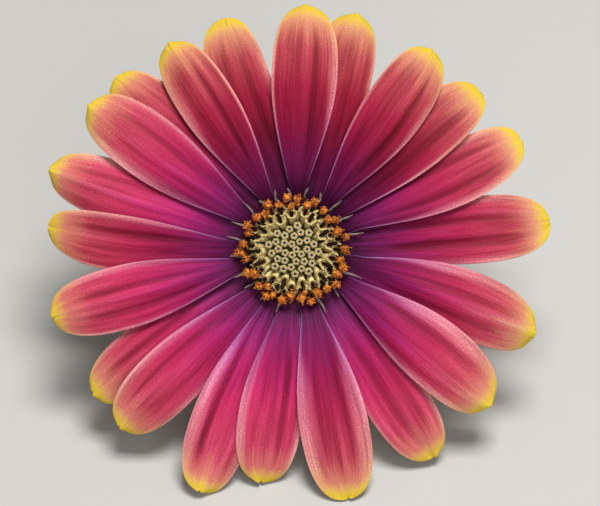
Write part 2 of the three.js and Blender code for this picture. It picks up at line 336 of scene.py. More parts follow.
# RAY FLORETS
# Twenty-one strap-shaped petals in one whorl, each grown in one piece with its ovary, its short tube and
# its claw. They arch out from under the rim of the disc. The blades are satin, with two furrows, folds
# of their own, thin pale margins and a notched yellow tip; below they are bronze, with a purple stripe.
# Shade is painted into the furrows, the valley folds and the stretch that lies under the next ray, and
# highlight onto the ridge folds and along the very edge.
#
# Clockwise from the top one: bearings of base, middle and tip in degrees, the radius reached, the
# width, the lifts of left margin, right margin and tip, the folds (place at the foot, place at the
# tip, height), how pale the left side, the right side and the tip are, and how warm the colour is.
RAYS = [
    ((88.5, 87.3, 87.5), 31.4, 8.5, (0.6, 0.6, 0), [(0.1, 0, 0.3)], (0.1, 0.5, 0.45), 0.9),
    ((72.5, 75, 75.5), 31.3, 8.0, (-0.6, -0.6, 0), [(-0.2, 0, 0.3)], (0.1, 0.2, 0.5), 1.0),
    ((56.5, 54.9, 55.5), 31.0, 8.0, (0.6, 0.6, 0), [(0, 0.1, 0.35)], (0.1, 0.3, 0.45), 0.9),
    ((40.5, 41.8, 41), 31.4, 7.8, (-0.5, 0.5, 0), [(0, 0, -0.5)], (0.2, 0.2, 0.6), 0.9),
    ((25, 24.7, 26), 32.4, 7.9, (-0.5, 0.5, 0), [(-0.3, -0.2, -0.35)], (0.6, 0.4, 0.8), 0.65),
    ((5.5, 6, 5.8), 33.1, 8.7, (-0.6, -0.3, 0), [(-0.3, -0.3, -0.5)], (0.4, 0.3, 0.8), 0.6),
    ((-15.5, -17.1, -19.7), 32.6, 8.7, (0.1, -0.5, 0), [(0, 0, 0.9)], (0.6, 0.2, 0.7), 0.6),
    ((-36.1, -36.5, -38.5), 32.0, 8.9, (0.6, 0.6, 0), [(-0.3, -0.3, 0.8)], (0.9, 0.3, 0.5), 0.45),
    ((-56.2, -56.5, -56.5), 32.4, 8.2, (-0.6, -0.6, -0.8),
     [(-0.15, -0.1, -0.6), (0.5, 0.45, 0.3)], (0.3, 0.2, 0.2), 0.25),
    ((-76.3, -77.5, -78.2), 33.0, 8.9, (0.9, 0.9, 0.85),
     [(0.1, -0.05, -0.45), (-0.45, -0.45, -0.25)], (0.9, 0.9, 0.3), 0.5),
    ((-98, -98.6, -98.5), 30.5, 8.3, (-0.1, 0.9, -0.4),
     [(0.1, 0, -0.5), (-0.4, -0.45, 0.3)], (0.3, 0.5, 0.1), 0.1),
    ((-113.7, -113.5, -111.7), 33.7, 8.2, (-0.9, 0.5, 1.5), [(0.4, 0.4, 0.5)], (0.5, 0.8, 0.3), 0.2),
    ((-133, -134.2, -134.5), 32.3, 8.3, (-0.4, 0.5, 0), [(0, 0.1, 0.35)], (0.3, 0.4, 0.2), 0.3),
    ((-149, -146, -144.2), 32.2, 8.0, (-0.9, -0.9, 0), [(0.1, 0, 0.3)], (0.3, 0.3, 0.3), 0.45),
    ((-163.8, -164.2, -164.7), 32.6, 8.3, (0.5, 0.5, 0), [(0, 0, 0.35)], (0.1, 0.3, 0.1), 0.3),
    ((-180.3, -181, -185), 32.2, 7.3, (-0.5, 0.4, 0), [(-0.3, -0.2, -0.4)], (0.1, 0.4, 0.2), 0.6),
    ((-196.8, -197.5, -198), 33.3, 7.8, (-0.6, -0.6, 0), [(0.38, 0.05, 0.9)], (0.1, 0.5, 0.2), 0.35),
    ((-212.6, -214.5, -215), 32.4, 8.4, (0.6, 0.6, 0), [(0.2, 0.2, 0.5)], (0.6, 0.2, 0.2), 0.5),
    ((-227.2, -225, -223.5), 32.1, 7.9, (-0.6, -0.6, 0), [(0, 0, 0.25)], (0.4, 0.2, 0.2), 0.7),
    ((-240.8, -239.1, -238.3), 31.1, 7.4, (0.6, 0.6, 0), [(0, -0.1, 0.35)], (0.6, 0.1, 0.3), 0.9),
    ((-255.9, -252, -252.2), 31.3, 7.9, (-0.6, -0.6, 0), [(0.2, 0.2, -0.3)], (0.3, 0.4, 0.45), 0.95),
]
# Ovary, tube and claw: radius, height, half width and half thickness
RAY_STALK = [
    (4.25, -4.95, 0.3, 0.36), (4.27, -3.9, 0.34, 0.4), (4.35, -2.6, 0.3, 0.32),
    (4.55, -1.4, 0.28, 0.26), (4.85, -0.4, 0.34, 0.22), (5.4, 0.2, 0.44, 0.18),
]
BLADE_FROM = 6.5
BLADE_BASE_SHARE = 0.2
BLADE_WIDEST_AT = 0.65
BLADE_SWELL = 1.25
BLADE_TIP_SPAN = 0.352
BLADE_TIP_BLUNTNESS = 2.5
# The stalk's curve runs on into the blade as far as this row
STALK_MEETS_ROW = 4
# At its foot a blade fills the gap to its neighbour, but for the room of a bract's half: it starts to do
# so over the first two radii, and stops over the last two
BRACT_ROOM = 0.12
FILLS_GAP = (5.4, 6.5)
LEAVES_GAP = (7.3, 9)
# A margin that lies low reaches further under its neighbour, by a share of the half width, from the first
# radii to the second. As far along as it lies under it, it has a painted shadow of the next ray and is
# less pale
UNDERLAP = 0.2
UNDERLAP_GROWS = (6.95, 7.7)
UNDERLAP_ENDS = (12, 19)
UNDERLAP_SHOWS = (0.45, 0.75)
UNDERLAP_SHADOW = 0.42
UNDERLAP_SHADOW_FROM = (0.3, 0.95)
UNDERLAP_LESS_PALE = 0.6
BLADE_HALF_THICKNESS = (0.13, 0.05)
BLADE_THINS_POWER = 3
ARCH_FROM = 5
ARCH_HEIGHT = 3.2
ARCH_FOOT = 0.1
ARCH_CREST_AT = 0.6
ARCH_DROP = 2
LIFT_FROM = 5.6
LIFT_TO = 10
LOW_LIFTS = (0.2, -0.4)
TIP_LIFT_POWER = 6
MIDDLE_BEARING_AT = 18
FURROWS_AT = 0.36
FURROW_SCATTER = 0.1
FURROW_DEPTH = 0.19
FURROW_DEPTHS = (0.3, 1.2)
FURROW_WIDTH = 0.13
FOLD_ROUNDING = 0.01
CAMBER = 0.3
WAVE_HEIGHT = (0.08, 0.2)
WAVE_TURNS = 7
WAVE_GROWS = (0.3, 0.6)
# Camber, furrows and folds grow over the first places along the blade; furrows end over the second ones
RELIEF_GROWS = (0.08, 0.4)
FURROWS_END = (0.7, 0.98)
# How much painted shade a furrow and a valley fold get, and how much painted highlight a ridge fold gets,
# for each millimetre of depth or height: less at the tip, and only near the fold's line
FURROW_SHADE = 4.5
FOLD_SHADING_AT_TIP = 0.25
FOLD_SHADING_WITHIN = 0.16
TIP_ROUNDING = 0.1
TIP_ROUNDS = (0.8, 1)
# A notch near the middle of the tip and a slighter one beside it: where in millimetres, and how deep
NOTCH_AT, NOTCH_DEPTH = (-0.4, 0.4), (0.12, 0.3)
SLIGHT_NOTCH_AWAY, SLIGHT_NOTCH_DEPTH = (0.9, 1.3), (0, 0.1)
NOTCH_WIDTH = 0.12
NOTCH_BEGINS = (0.9, 0.98)
# On a warm ray, the yellow of the tip runs back along the pale margins
TIP_RUNS_BACK = 0.12
TIP_RUNS_FROM = (0.5, 0.9)
TIP_RUNS_POWER = 3
# The side from which a margin turns pale outwards: at the blade's foot, then above it on a plain and on a
# pale ray. It changes from the one to the other over some places along the blade, later on a warm ray
PALE_FROM_AT_FOOT = 0.88
PALE_FROM = (0.92, 0.3)
PALE_TO = 1.05
PALE_MOST = 0.95
PALE_WIDENS = (0.1, 0.38)
WARM_WIDENS_LATER = (0.22, 0.34)
# A painted highlight in the margin's colour along the very edge, where a curled margin catches the light:
# over these shares of the half width, growing in over these places along the blade
RIM_HIGHLIGHT = (0.9, 0.98)
RIM_HIGHLIGHT_GROWS = (0.03, 0.15)
PALE_TIP = (0.83, 0.98)
STALK_ROWS = 15
BLADE_ROWS = 84
RAY_COLUMNS = 44
# Rows stand closer towards the tip and columns closer towards the margins
ROW_GRADING = 1.3
COLUMN_GRADING = 0.2
# The step along a ray over which its direction is taken
RAY_STEP = 0.01


def slab(columns, rows):
    """A square slab from -1 to 1, one unit thick, whose underside takes the second finish."""
    shape = bmesh.new()
    bmesh.ops.create_grid(shape, x_segments=columns, y_segments=rows, size=1)
    bmesh.ops.solidify(shape, geom=shape.faces[:], thickness=1)
    shape.normal_update()
    for face in shape.faces:
        face.material_index = int(face.normal.z < -0.5)
    return shape


def on_bearing(bearing, radius, height, sideways=0):
    """The point at a bearing in degrees, a radius and a height, moved towards the next bearing."""
    turn = radians(bearing)
    return Vector((
        radius * cos(turn) - sideways * sin(turn), radius * sin(turn) + sideways * cos(turn), height
    ))


def ray_bearing(bearings, reach, radius):
    """A ray's bearing: a parabola through its base, middle and tip, straight below the blade."""
    base, middle, tip = bearings
    along = max(radius - BLADE_FROM, 0) / (reach - BLADE_FROM)
    half = (MIDDLE_BEARING_AT - BLADE_FROM) / (reach - BLADE_FROM)
    bend = ((middle - base) / half - (tip - base)) / (1 - half)
    return base + along * (tip - base) + bend * along * (1 - along)


def arch_height(radius, reach):
    along = (radius - ARCH_FROM) / (reach - ARCH_FROM)
    if along < ARCH_CREST_AT:
        return ARCH_FOOT + ARCH_HEIGHT * (1 - (1 - along / ARCH_CREST_AT) ** 2)
    return ARCH_FOOT + ARCH_HEIGHT - ARCH_DROP * ((along - ARCH_CREST_AT) / (1 - ARCH_CREST_AT)) ** 2


def blade_share(along):
    """Share of the widest width at a place along the blade."""
    if along < BLADE_WIDEST_AT:
        return lerp(BLADE_BASE_SHARE, 1, sin(pi / 2 * along / BLADE_WIDEST_AT) ** BLADE_SWELL)
    past = (along - BLADE_WIDEST_AT) / BLADE_TIP_SPAN
    return (1 - past**BLADE_TIP_BLUNTNESS) ** (1 / BLADE_TIP_BLUNTNESS)


def ray_floret(ray, gaps, seed):
    bearings, reach, width, (left_lift, right_lift, tip_lift), folds, pale, warmth = ray
    left_low, right_low = (smoothstep(*LOW_LIFTS, lift) for lift in (left_lift, right_lift))
    chance = Random(seed)
    notch, away = chance.uniform(*NOTCH_AT), chance.uniform(*SLIGHT_NOTCH_AWAY)
    slight_notch = notch - away if notch > 0 else notch + away
    notches = [
        (notch, chance.uniform(*NOTCH_DEPTH)),
        (slight_notch, chance.uniform(*SLIGHT_NOTCH_DEPTH)),
    ]
    wave, wave_turn = chance.uniform(*WAVE_HEIGHT), chance.uniform(0, tau)
    furrows = []
    for middle in (-FURROWS_AT, FURROWS_AT):
        stray = chance.uniform(-FURROW_SCATTER, FURROW_SCATTER)
        furrows.append((middle + stray, FURROW_DEPTH * chance.uniform(*FURROW_DEPTHS)))

    def blade_station(along):
        """Radius, height, half width and half thickness in the middle, at a place along the blade."""
        radius = lerp(BLADE_FROM, reach, along)
        height = arch_height(radius, reach) + tip_lift * along**TIP_LIFT_POWER
        return radius, height, width / 2 * blade_share(along), BLADE_HALF_THICKNESS[0]

    stalk = [*RAY_STALK, blade_station(0), blade_station(STALK_MEETS_ROW / BLADE_ROWS)]

    def station(along):
        return blade_station(along) if along >= 0 else through(stalk, (along + 1) * len(RAY_STALK))

    def covered(side, along):
        """How far a place belongs to a low margin, on the stretch that lies under the next ray."""
        return (left_low if side > 0 else right_low) * (1 - smoothstep(*UNDERLAP_SHOWS, along))

    def relief(side, along):
        """How far the blade stands above a plain one, and its painted shading: shade in a furrow, a
        valley fold and under the next ray, and highlight, below 0, on a ridge fold.
        """
        grown = smoothstep(*RELIEF_GROWS, along)
        below_tip = 1 - smoothstep(*FURROWS_END, along)
        height = CAMBER * (1 - side * side) * grown
        crease_shading = 0
        for middle, depth in furrows:
            furrow = exp(-(((side - middle) / FURROW_WIDTH) ** 2)) * grown * below_tip
            height -= depth * furrow
            crease_shading += FURROW_SHADE * depth * furrow
        for foot, end, rise in folds:
            line = lerp(foot, end, along)
            away = side - line
            reach_of_fold = 1 - line if away > 0 else 1 + line
            fold_shading = lerp(FOLD_SHADING_AT_TIP, 1, below_tip)
            height += rise * (1 - sqrt(away * away + FOLD_ROUNDING) / reach_of_fold) * grown
            crease_shading -= rise * exp(-((away / FOLD_SHADING_WITHIN) ** 2)) * grown * fold_shading
        waved = wave * sin(wave_turn + WAVE_TURNS * along)
        height += waved * side * side * smoothstep(*WAVE_GROWS, along)
        # Painted shadow of the next ray, on the stretch of a low margin that lies under it
        underlap_shadow = UNDERLAP_SHADOW * covered(side, along) * smoothstep(*UNDERLAP_SHADOW_FROM, abs(side))
        return height, crease_shading + underlap_shadow * grown

    def point(side, along, layer):
        radius, height, half_width, half = station(along)
        back, ahead = station(max(along - RAY_STEP, -1)), station(min(along + RAY_STEP, 1))
        run = Vector((ahead[0] - back[0], ahead[1] - back[1])).normalized()
        if along >= 0:
            half = lerp(half, BLADE_HALF_THICKNESS[1], abs(side) ** BLADE_THINS_POWER)
        gap = radians(gaps[0] if side > 0 else gaps[1])
        filling = smoothstep(*FILLS_GAP, radius) * (1 - smoothstep(*LEAVES_GAP, radius))
        half_width = lerp(half_width, radius * gap / 2 - BRACT_ROOM, filling)
        low = left_low if side > 0 else right_low
        underlap = smoothstep(*UNDERLAP_GROWS, radius) * (1 - smoothstep(*UNDERLAP_ENDS, radius))
        half_width += UNDERLAP * low * underlap * width / 2
        rise, _ = relief(side, along)
        out = layer * half + rise
        lift = smoothstep(LIFT_FROM, LIFT_TO, radius) * lerp(right_lift, left_lift, (side + 1) / 2)
        bearing = ray_bearing(bearings, reach, radius)
        blunt = TIP_ROUNDING * side * side * smoothstep(*TIP_ROUNDS, along)
        for middle, depth in notches:
            away = (side * half_width - middle) / NOTCH_WIDTH
            blunt += depth * exp(-away * away) * smoothstep(*NOTCH_BEGINS, along)
        return on_bearing(
            bearing, radius - blunt - out * run.y, height + out * run.x + lift, side * half_width
        )

    def tinted(side, along):
        """How far along the blade the place is from which a place takes its colour."""
        run = TIP_RUNS_BACK * warmth**2 * (pale[0] if side > 0 else pale[1])
        return along + run * abs(side) ** TIP_RUNS_POWER * smoothstep(*TIP_RUNS_FROM, along)

    def paleness(side, along):
        """How far a place has the margin's colour, from 0 to 1, with a painted highlight along the very
        edge.
        """
        widens = [start + later * warmth**2 for start, later in zip(PALE_WIDENS, WARM_WIDENS_LATER)]
        reach_in = lerp(*PALE_FROM, pale[0] if side > 0 else pale[1])
        begins = lerp(PALE_FROM_AT_FOOT, reach_in, smoothstep(*widens, along))
        rim_highlight = smoothstep(*RIM_HIGHLIGHT, abs(side)) * smoothstep(*RIM_HIGHLIGHT_GROWS, along)
        tip = pale[2] * smoothstep(*PALE_TIP, along)
        margin = lerp(PALE_MOST * smoothstep(begins, PALE_TO, abs(side)), 1, rim_highlight)
        return max(margin * (1 - UNDERLAP_LESS_PALE * covered(side, along)), tip)

    shape = slab(RAY_COLUMNS, STALK_ROWS + BLADE_ROWS)
    blade = shape.verts.layers.float_vector.new("blade")
    tone = shape.verts.layers.float_vector.new("tone")
    for vertex in shape.verts:
        side = -vertex.co.x * (1 + COLUMN_GRADING - COLUMN_GRADING * vertex.co.x**2)
        row = (vertex.co.y + 1) / 2 * (STALK_ROWS + BLADE_ROWS) - STALK_ROWS
        along = row / STALK_ROWS if row < 0 else 1 - (1 - row / BLADE_ROWS) ** ROW_GRADING
        layer = 1 if vertex.co.z > -0.5 else -1
        vertex[blade] = (side, tinted(side, along), seed)
        # The tone carries the margin's paleness, the painted shade and highlight of the relief and the
        # underlap, and the warmth
        vertex[tone] = (paleness(side, along), relief(side, along)[1], warmth)
        vertex.co = point(side, along, layer)
    return shape


def petal_finish():
    finish = new_finish("petal_face", Roughness=0.5, Subsurface_Weight=0.1, Subsurface_Scale=0.0004,
                        Specular_IOR_Level=0.08)
    blade, _, along, _ = carried(finish, "blade")
    _, paleness, crease_shading, warmth = carried(finish, "tone")
    streaks = noise(finish, blade, (7, 1.6, 11), detail=3)
    patches = noise(finish, blade, (3.4, 1.6, 11), detail=2)
    veins = noise(finish, blade, (22, 3.2, 11), detail=3, roughness=0.6)
    frost = noise(finish, blade, (16, 100, 11), detail=3, roughness=0.65)
    grains = noise(finish, blade, (30, 190, 11), detail=2, roughness=0.7)
    below_tip = fade(finish, along, 0.95, 0.8)

    # The borders between the colours along the blade are ragged, less so towards the tip
    stray = fade(finish, streaks, 0.3, 0.7, -0.03, 0.03)
    stray = calc(finish, "MULTIPLY", stray, fade(finish, along, 1, 0.7, 0.3, 1))
    shifted = calc(finish, "ADD", along, stray)
    shifted = calc(finish, "ADD", shifted, fade(finish, frost, 0.3, 0.7, -0.008, 0.008))
    # Each colour runs from the foot to the yellow tip. Towards the foot, and on the stalk, it darkens
    # almost to black: the ray's own deep violet, with painted shade where the foot lies under the disc
    rose = ramp(finish, shifted, [
        (0.0, (0.035, 0.002, 0.018)), (0.05, (0.075, 0.006, 0.036)), (0.1, (0.135, 0.011, 0.088)),
        (0.22, (0.3, 0.013, 0.135)), (0.36, (0.49, 0.015, 0.14)), (0.55, (0.61, 0.028, 0.13)),
        (0.8, (0.59, 0.048, 0.115)), (0.92, (0.65, 0.13, 0.135)), (0.955, (0.74, 0.37, 0.12)),
        (0.98, (0.75, 0.51, 0.04)),
    ])
    brick = ramp(finish, shifted, [
        (0.0, (0.03, 0.002, 0.02)), (0.12, (0.085, 0.003, 0.038)), (0.25, (0.125, 0.003, 0.034)),
        (0.4, (0.19, 0.003, 0.022)), (0.58, (0.28, 0.007, 0.028)), (0.78, (0.4, 0.046, 0.058)),
        (0.91, (0.54, 0.18, 0.105)), (0.955, (0.63, 0.36, 0.075)), (0.98, (0.63, 0.43, 0.025)),
    ])
    margin = ramp(finish, shifted, [
        (0.0, (0.12, 0.04, 0.18)), (0.12, (0.28, 0.1, 0.33)), (0.28, (0.46, 0.13, 0.35)),
        (0.45, (0.67, 0.19, 0.35)), (0.65, (0.76, 0.25, 0.34)), (0.82, (0.75, 0.3, 0.31)),
        (0.93, (0.76, 0.42, 0.22)), (0.975, (0.75, 0.53, 0.05)),
    ])
    margin = toned(finish, warmth, margin, (0.88, 0.86, 0.6))
    share = calc(finish, "MULTIPLY", paleness, fade(finish, frost, 0.25, 0.75, 0.8, 1.1))
    colour = mixed(finish, share, mixed(finish, warmth, rose, brick), margin)

    frosting = calc(finish, "MULTIPLY", fade(finish, frost, 0.45, 0.75), below_tip)
    colour = toned(finish, frosting, colour, (1.12, 1.6, 1.35))
    for patch, tone in ((0.34, (0.76, 0.64, 0.68)), (0.68, (1.14, 1.5, 1.35))):
        strength = calc(finish, "MULTIPLY", fade(finish, patches, 0.51, patch), below_tip)
        colour = toned(finish, strength, colour, tone)
    # Painted shade in the furrows, the valley folds and under the next ray, and painted highlight on the
    # ridge folds
    colour = toned(finish, fade(finish, crease_shading, 0, 0.8), colour, (0.56, 0.4, 0.45))
    colour = toned(finish, fade(finish, crease_shading, 0, -0.8), colour, (1.15, 1.8, 1.6))
    lined = fade(finish, veins, 0.56, 0.36, 0, 0.7)
    lined = calc(finish, "MULTIPLY", lined, fade(finish, along, 0.97, 0.8, 0.3, 1))
    colour = toned(finish, lined, colour, (0.74, 0.58, 0.6))
    colour = toned(finish, fade(finish, grains, 0.5, 0.66), colour, (1.1, 1.35, 1.3))
    colour = toned(finish, fade(finish, grains, 0.5, 0.36), colour, (0.82, 0.72, 0.72))
    feed(shader(finish).inputs["Base Color"], colour)
    bumped(finish, calc(finish, "ADD", veins, calc(finish, "MULTIPLY", grains, 0.3)), 0.05)
    return finish


def petal_back_finish():
    finish = new_finish("petal_back", Roughness=0.55, Subsurface_Weight=0.12, Subsurface_Scale=0.0005,
                        Sheen_Weight=0.2)
    blade, side, along, _ = carried(finish, "blade")
    streaks = noise(finish, blade, (8, 1.5, 11), detail=3)
    veins = noise(finish, blade, (26, 2, 11), detail=2)
    pale = ramp(finish, along, [
        (0.0, (0.3, 0.2, 0.22)), (0.3, (0.52, 0.34, 0.25)),
        (0.7, (0.68, 0.42, 0.2)), (1.0, (0.8, 0.56, 0.1)),
    ])
    stripe = fade(finish, calc(finish, "ABSOLUTE", side), 0.62, 0.15)
    stripe = calc(finish, "MULTIPLY", stripe, fade(finish, along, 1, 0.6, 0.15, 1))
    stripe = calc(finish, "MULTIPLY", stripe, fade(finish, streaks, 0.3, 0.65, 0.55, 1))
    colour = mixed(finish, stripe, pale, (0.2, 0.035, 0.075, 1))
    colour = toned(finish, fade(finish, veins, 0.55, 0.35, 0, 0.5), colour, (0.6, 0.5, 0.5))
    feed(shader(finish).inputs["Base Color"], colour)
    bumped(finish, veins, 0.06)
    return finish


petal_finishes = [petal_finish(), petal_back_finish()]
foot_bearings = [bearings[0] for bearings, *_ in RAYS]
next_bearings = [*foot_bearings[1:], foot_bearings[0] - 360]
# The gap on the right of each ray, the last of which is closed by the first ray
gaps = [before - after for before, after in zip(foot_bearings, next_bearings)]
for number, ray in enumerate(RAYS, 1):
    add_piece(
        f"ray_petal_{number:02}", ray_floret(ray, (gaps[number - 2], gaps[number - 1]), number),
        petal_finishes, [f"ray_floret_{number:02}"],
    )

# BRACTS
# Narrow green leaves in one row round the head, seated on the rim of the receptacle, one in the gap
# after each ray. Each has a keel, thin pale margins and a grey point that shows between the rays.
BRACT_REACHES = [
    8.0, 7.9, 8.6, 8.5, 9.0, 11.0, 9.3, 8.3, 9.1, 10.4, 8.6,
    8.0, 8.4, 8.8, 8.6, 9.1, 9.0, 9.1, 7.8, 8.1, 7.9,
]
# Radius, height and half width from a bract's foot to where its point begins: a short one passes up
# between two rays and its point lies over them, and a long one stays below them
BRACT_FOOT = [(5.15, -6.5, 0.45), (5.6, -5, 0.8), (5.88, -3.5, 0.9)]
BRACT_BODY = [
    *BRACT_FOOT, (6.05, -1.6, 0.7), (6.5, -0.35, 0.24),
    (6.84, 0.75, 0.06), (7.15, 1.2, 0.09), (7.7, 1.55, 0.14),
]
LONG_BRACT_BODY = [
    *BRACT_FOOT, (6.08, -1.6, 0.82), (6.6, -0.35, 0.5), (7.2, 0.02, 0.5), (8.4, 0.45, 0.48),
]
BRACT_POINT_SLOPE = 0.6
LONG_BRACT_POINT_SLOPE = 0.3
LONG_BRACT_REACH = 10
BRACT_HALF_POINT = 0.03
BRACT_HALF_THICKNESS = (0.13, 0.04)
BRACT_THINS_POWER = 2
# Degrees by which bracts lap over each other below, by which one curls to either side towards its point,
# and by which its point turns to the side of the lower of its two rays, with the places where they do so
BRACT_TILT = 18
BRACT_TILT_ENDS = (0.5, 0.75)
BRACT_CURL = 6
BRACT_TURN = 1.6
BRACT_TURNS = (0.74, 0.97)
BRACT_KEEL = 0.22
BRACT_KEEL_ROUNDING = 0.02
BRACT_KEEL_GROWS = (0, 0.2)
BRACT_COLUMNS = 12
BRACT_ROWS = 42
# The step along a path, as a share of a span, over which its direction is taken
PATH_STEP = 0.05


def bract_finish():
    finish = new_finish("bract_leaf", Roughness=0.6, Subsurface_Weight=0.1, Subsurface_Scale=0.0005,
                        Sheen_Weight=0.2)
    blade, side, along, long = carried(finish, "leaf")
    streaks = noise(finish, blade, (6, 3, 5), detail=3)
    specks = noise(finish, blade, (9, 40, 5), detail=2)
    green = ramp(finish, streaks, [
        (0.3, (0.07, 0.13, 0.025)), (0.55, (0.14, 0.22, 0.05)), (0.75, (0.24, 0.32, 0.1)),
    ])
    pale = mixed(finish, streaks, (0.16, 0.11, 0.1, 1), (0.4, 0.3, 0.27, 1))
    # The point is grey, though less so on a long bract
    tip = fade(finish, along, 0.55, 0.85)
    tip = calc(finish, "MULTIPLY", tip, fade(finish, long, 0.2, 0.8, 1, 0.25))
    edge = fade(finish, calc(finish, "ABSOLUTE", side), 0.72, 1, 0, 0.85)
    colour = mixed(finish, calc(finish, "MAXIMUM", tip, edge), green, pale)
    feed(shader(finish).inputs["Base Color"], colour)
    bumped(finish, calc(finish, "ADD", streaks, calc(finish, "MULTIPLY", specks, 0.5)), 0.05)
    return finish


def bract(bearing, reach, seed, turn):
    body, slope = BRACT_BODY, BRACT_POINT_SLOPE
    long = reach > LONG_BRACT_REACH
    if long:
        body, slope = LONG_BRACT_BODY, LONG_BRACT_POINT_SLOPE
    last_radius, last_height, _ = body[-1]
    stations = [*body, (reach, last_height + slope * (reach - last_radius), BRACT_HALF_POINT)]
    spans = len(stations) - 1
    curl = Random(seed).uniform(-BRACT_CURL, BRACT_CURL)
    shape = slab(BRACT_COLUMNS, BRACT_ROWS)
    leaf = shape.verts.layers.float_vector.new("leaf")
    for vertex in shape.verts:
        side = -vertex.co.x
        along = (vertex.co.y + 1) / 2
        layer = 1 if vertex.co.z > -0.5 else -1
        radius, height, half_width = through(stations, along * spans)
        back = through(stations, max(along * spans - PATH_STEP, 0))
        ahead = through(stations, min(along * spans + PATH_STEP, spans))
        run = Vector((ahead[0] - back[0], ahead[1] - back[1])).normalized()
        tilt = radians(BRACT_TILT * (1 - smoothstep(*BRACT_TILT_ENDS, along)) + curl * along)
        half = lerp(*BRACT_HALF_THICKNESS, abs(side) ** BRACT_THINS_POWER)
        crest = 1 - sqrt(side * side + BRACT_KEEL_ROUNDING)
        keel = -BRACT_KEEL * crest * (1 - along) * smoothstep(*BRACT_KEEL_GROWS, along)
        raised = layer * half + keel
        out = raised * cos(tilt) + side * half_width * sin(tilt)
        sideways = side * half_width * cos(tilt) - raised * sin(tilt)
        vertex[leaf] = (side, along, float(long))
        turned = bearing + turn * smoothstep(*BRACT_TURNS, along)
        vertex.co = on_bearing(turned, radius - out * run.y, height + out * run.x, sideways)
    return shape


bract_leaf = bract_finish()
for number, (reach, gap) in enumerate(zip(BRACT_REACHES, gaps), 1):
    ray_before, ray_after = RAYS[number - 1], RAYS[number % BRACTS]
    turn = BRACT_TURN if ray_before[3][1] < ray_after[3][0] else -BRACT_TURN
    add_piece(
        f"green_bract_{number:02}", bract(ray_before[0][0] - gap / 2, reach, number, turn),
        [bract_leaf, bract_leaf], [f"bract_{number:02}"],
    )

# DISC DOME
# The green middle of the disc, on which the closed buds stand close together. It shows only as dark
# green between them.
BUD_DOME = [
    (0, -4.75), (2.2, -4.75), (2.35, -3), (2.5, 0.5), (2.9, 1.5), (3.0, 2.2),
    (2.7, 2.75), (2, 3.05), (1, 3.2), (0, 3.25),
]
DOME_SIDES = 48
DISC_LEAN = Vector((-0.25, -0.2, 0))
DISC_LEANS = (-2, 3)


def dome_finish():
    finish = new_finish("disc_green", Roughness=0.6, Specular_IOR_Level=0.1)
    place = new_node(finish, "ShaderNodeTexCoord", {}).outputs["Object"]
    mottle = noise(finish, place, (1500, 1500, 1500), detail=3)
    dark = ramp(finish, mottle, [(0.3, (0.02, 0.02, 0.002)), (0.7, (0.06, 0.06, 0.008))])
    feed(shader(finish).inputs["Base Color"], dark)
    bumped(finish, mottle, 0.1)
    return finish


def leaned(height):
    """How far the disc leans to one side at a height: not at its foot, and fully at its top."""
    return DISC_LEAN * smoothstep(*DISC_LEANS, height)


def disc_dome():
    shape = spun(softened(BUD_DOME, steps=3), DOME_SIDES)
    for vertex in shape.verts:
        vertex.co += leaned(vertex.co.z)
    return shape


add_piece("disc_dome", disc_dome(), [dome_finish()], ["disc_buds"])

# CLOSED BUDS
# Thirty-four unopened disc florets in the spiral in which a daisy sets them. Each is a cream club with
# five rounded lobes that close over a dark purple dot.
BUDS = 34
BUD_SEED = 34
BUD_FIRST_BEARING = 25
GOLDEN_ANGLE = -137.508
BUD_SPREAD = 0.59
# The spiral's count starts above 0, so that the first bud stands off the axis
BUD_COUNT_FROM = 0.25
BUD_TOP = 3.95
BUD_TOP_SCATTER = 0.04
BUD_DOME_FALL = 0.065
BUD_LEAN_OUT = 0.1
BUD_SIZES = (0.94, 1.04)
BUD_GROWTH = 0.035
BUD_OUTLINE = [
    (0, 0), (0.36, 0), (0.39, 1), (0.44, 1.4), (0.475, 1.64), (0.45, 1.83),
    (0.35, 1.95), (0.22, 1.93), (0.14, 1.84), (0.1, 1.7), (0, 1.68),
]
BUD_HEIGHT = max(height for _, height in BUD_OUTLINE)
BUD_SIDES = 20
BUD_LOBES = 5
BUD_LOBE_SWELL = 0.08
BUD_LOBE_RISE = 0.06
# The heights over which a bud's lobes begin to swell and to rise, and the radii over which they rise
BUD_SWELLS_AT = (1.2, 1.8)
BUD_RISES_AT = (1.7, 1.9)
BUD_RISES_FROM = (0.1, 0.25)


def bud_finish():
    finish = new_finish("bud_cream", Roughness=0.5, Subsurface_Weight=0.15, Subsurface_Scale=0.0003,
                        Specular_IOR_Level=0.2)
    whole, x, y, height = carried(finish, "club")
    squares = [calc(finish, "MULTIPLY", part, part) for part in (x, y)]
    radius = calc(finish, "SQRT", calc(finish, "ADD", *squares))
    cells = noise(finish, whole, (6, 6, 4), detail=2)
    sides = ramp(finish, height, [
        (0.5, (0.05, 0.045, 0.004)), (0.78, (0.14, 0.12, 0.015)), (0.9, (0.34, 0.3, 0.1)),
    ])
    top = mixed(finish, cells, (0.34, 0.27, 0.105, 1), (0.5, 0.405, 0.205, 1))
    colour = mixed(finish, fade(finish, height, 0.88, 0.98), sides, top)
    colour = mixed(finish, fade(finish, radius, 0.27, 0.14, 0, 0.7), colour, (0.36, 0.24, 0.24, 1))
    colour = mixed(finish, fade(finish, radius, 0.16, 0.12), colour, (0.03, 0.006, 0.02, 1))
    feed(shader(finish).inputs["Base Color"], colour)
    bumped(finish, cells, 0.03)
    return finish


